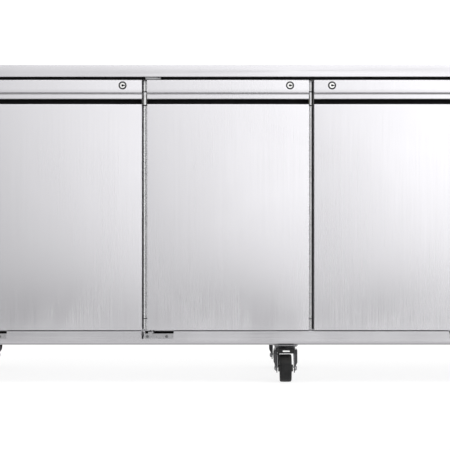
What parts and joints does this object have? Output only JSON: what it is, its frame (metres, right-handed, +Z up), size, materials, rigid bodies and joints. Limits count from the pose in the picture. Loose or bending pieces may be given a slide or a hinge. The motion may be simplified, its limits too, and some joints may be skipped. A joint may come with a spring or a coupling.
{
  "type": "counter refrigerator",
  "caption": "Stainless counter refrigerator with hinged doors, recessed full-width pulls, door locks, a flat worktop, castors and a side machine compartment.",
  "frame": {"origin": "on the floor, under the middle of the cabinet", "axes": "+X to the right seen by someone facing the doors, +Y from the doors to the back, +Z up"},
  "size_m": [1.865, 0.7, 0.86],
  "materials": {
    "stainless": "brushed",
    "stainless_inner": "satin",
    "zinc": "satin zinc plate",
    "lock_metal": "polished",
    "black_plastic": "satin",
    "bush_plastic": "satin",
    "trim": "satin anodised",
    "gasket": "matt",
    "foam": "closed-cell foam",
    "shelf_wire": "plastic-coated wire",
    "tread": "worn",
    "fins": "bare",
    "copper": "bare copper",
    "compressor_paint": "black enamel",
    "fan_plastic": "satin",
    "evap_cover": "light grey"
  },
  "bodies": {
    "cabinet": {"worktop": "stainless", "side_panels": "stainless", "back_panel": "stainless_inner", "base_pan": "stainless_inner", "foam_insulation": "foam", "inner_liner": "stainless_inner", "front_frame": "stainless_inner", "trim_strips": "trim", "bottom_front_rail": "stainless", "hinge_brackets_and_keepers": "zinc", "fasteners": "zinc", "shelf_supports": "stainless_inner", "wire_shelves": "shelf_wire", "evaporator_coil": "fins", "evaporator_cover": "evap_cover", "condenser_coil": "fins", "fan_motors": "compressor_paint", "compressor": "compressor_paint", "refrigerant_pipes": "copper", "machine_front_panel": "stainless", "controller": "black_plastic", "castor_plates": "zinc"},
    "evaporator_fan": {"evaporator_fan": "fan_plastic"},
    "condenser_fan": {"condenser_fan": "fan_plastic"},
    "door_1": {"door_1_skin": "stainless", "door_1_handle_channel": "black_plastic", "door_1_foam": "foam", "door_1_inner_panel": "stainless_inner", "door_1_gasket": "gasket", "door_1_hinge_bushes": "bush_plastic"},
    "lock_1": {"lock_1_plug": "lock_metal"},
    "door_2": {"door_2_skin": "stainless", "door_2_handle_channel": "black_plastic", "door_2_foam": "foam", "door_2_inner_panel": "stainless_inner", "door_2_gasket": "gasket", "door_2_hinge_bushes": "bush_plastic"},
    "lock_2": {"lock_2_plug": "lock_metal"},
    "door_3": {"door_3_skin": "stainless", "door_3_handle_channel": "black_plastic", "door_3_foam": "foam", "door_3_inner_panel": "stainless_inner", "door_3_gasket": "gasket", "door_3_hinge_bushes": "bush_plastic"},
    "lock_3": {"lock_3_plug": "lock_metal"},
    "castor_front_left": {"castor_front_left_fork": "zinc"},
    "castor_front_left_wheel": {"castor_front_left_wheel": "tread"},
    "castor_front_left_brake_pedal": {"castor_front_left_brake_pedal": "black_plastic"},
    "castor_front_middle": {"castor_front_middle_fork": "zinc"},
    "castor_front_middle_wheel": {"castor_front_middle_wheel": "tread"},
    "castor_front_middle_brake_pedal": {"castor_front_middle_brake_pedal": "black_plastic"},
    "castor_front_right": {"castor_front_right_fork": "zinc"},
    "castor_front_right_wheel": {"castor_front_right_wheel": "tread"},
    "castor_front_right_brake_pedal": {"castor_front_right_brake_pedal": "black_plastic"},
    "castor_rear_left": {"castor_rear_left_fork": "zinc"},
    "castor_rear_left_wheel": {"castor_rear_left_wheel": "tread"},
    "castor_rear_middle": {"castor_rear_middle_fork": "zinc"},
    "castor_rear_middle_wheel": {"castor_rear_middle_wheel": "tread"},
    "castor_rear_right": {"castor_rear_right_fork": "zinc"},
    "castor_rear_right_wheel": {"castor_rear_right_wheel": "tread"}
  },
  "joints": [
    {"name": "door_1_hinge", "type": "hinge", "parent": "cabinet", "child": "door_1", "pos_m": [-0.8355, -0.325, 0.48], "axis": [0, 0, -1], "range_deg": [0, 100]},
    {"name": "lock_1_turn", "type": "hinge", "parent": "door_1", "child": "lock_1", "pos_m": [-0.462, -0.335, 0.8043], "axis": [0, -1, 0], "range_deg": [0, 90]},
    {"name": "door_2_hinge", "type": "hinge", "parent": "cabinet", "child": "door_2", "pos_m": [-0.3836, -0.325, 0.48], "axis": [0, 0, -1], "range_deg": [0, 100]},
    {"name": "lock_2_turn", "type": "hinge", "parent": "door_2", "child": "lock_2", "pos_m": [-0.0093, -0.335, 0.8043], "axis": [0, -1, 0], "range_deg": [0, 90]},
    {"name": "door_3_hinge", "type": "hinge", "parent": "cabinet", "child": "door_3", "pos_m": [0.4818, -0.325, 0.48], "axis": [0, 0, 1], "range_deg": [0, 100]},
    {"name": "lock_3_turn", "type": "hinge", "parent": "door_3", "child": "lock_3", "pos_m": [0.1046, -0.335, 0.8043], "axis": [0, 1, 0], "range_deg": [0, 90]},
    {"name": "castor_front_left_swivel", "type": "hinge", "parent": "cabinet", "child": "castor_front_left", "pos_m": [-0.89, -0.275, 0.092], "axis": [0, 0, 1], "continuous": true},
    {"name": "castor_front_left_roll", "type": "hinge", "parent": "castor_front_left", "child": "castor_front_left_wheel", "pos_m": [-0.89, -0.303, 0.0375], "axis": [1, 0, 0], "continuous": true},
    {"name": "castor_front_left_brake", "type": "hinge", "parent": "castor_front_left", "child": "castor_front_left_brake_pedal", "pos_m": [-0.89, -0.299, 0.08], "axis": [-1, 0, 0], "range_deg": [0, 7]},
    {"name": "castor_front_middle_swivel", "type": "hinge", "parent": "cabinet", "child": "castor_front_middle", "pos_m": [-0.02, -0.275, 0.092], "axis": [0, 0, 1], "continuous": true},
    {"name": "castor_front_middle_roll", "type": "hinge", "parent": "castor_front_middle", "child": "castor_front_middle_wheel", "pos_m": [-0.02, -0.303, 0.0375], "axis": [1, 0, 0], "continuous": true},
    {"name": "castor_front_middle_brake", "type": "hinge", "parent": "castor_front_middle", "child": "castor_front_middle_brake_pedal", "pos_m": [-0.02, -0.299, 0.08], "axis": [-1, 0, 0], "range_deg": [0, 7]},
    {"name": "castor_front_right_swivel", "type": "hinge", "parent": "cabinet", "child": "castor_front_right", "pos_m": [0.89, -0.275, 0.092], "axis": [0, 0, 1], "continuous": true},
    {"name": "castor_front_right_roll", "type": "hinge", "parent": "castor_front_right", "child": "castor_front_right_wheel", "pos_m": [0.89, -0.303, 0.0375], "axis": [1, 0, 0], "continuous": true},
    {"name": "castor_front_right_brake", "type": "hinge", "parent": "castor_front_right", "child": "castor_front_right_brake_pedal", "pos_m": [0.89, -0.299, 0.08], "axis": [-1, 0, 0], "range_deg": [0, 7]},
    {"name": "castor_rear_left_swivel", "type": "hinge", "parent": "cabinet", "child": "castor_rear_left", "pos_m": [-0.89, 0.285, 0.092], "axis": [0, 0, 1], "continuous": true},
    {"name": "castor_rear_left_roll", "type": "hinge", "parent": "castor_rear_left", "child": "castor_rear_left_wheel", "pos_m": [-0.89, 0.257, 0.0375], "axis": [1, 0, 0], "continuous": true},
    {"name": "castor_rear_middle_swivel", "type": "hinge", "parent": "cabinet", "child": "castor_rear_middle", "pos_m": [-0.02, 0.285, 0.092], "axis": [0, 0, 1], "continuous": true},
    {"name": "castor_rear_middle_roll", "type": "hinge", "parent": "castor_rear_middle", "child": "castor_rear_middle_wheel", "pos_m": [-0.02, 0.257, 0.0375], "axis": [1, 0, 0], "continuous": true},
    {"name": "castor_rear_right_swivel", "type": "hinge", "parent": "cabinet", "child": "castor_rear_right", "pos_m": [0.89, 0.285, 0.092], "axis": [0, 0, 1], "continuous": true},
    {"name": "castor_rear_right_roll", "type": "hinge", "parent": "castor_rear_right", "child": "castor_rear_right_wheel", "pos_m": [0.89, 0.257, 0.0375], "axis": [1, 0, 0], "continuous": true},
    {"name": "evaporator_fan_spin", "type": "hinge", "parent": "cabinet", "child": "evaporator_fan", "pos_m": [0.48, 0.02, 0.56], "axis": [1, 0, 0], "continuous": true},
    {"name": "condenser_fan_spin", "type": "hinge", "parent": "cabinet", "child": "condenser_fan", "pos_m": [0.757, -0.16, 0.3], "axis": [0, 1, 0], "continuous": true}
  ]
}
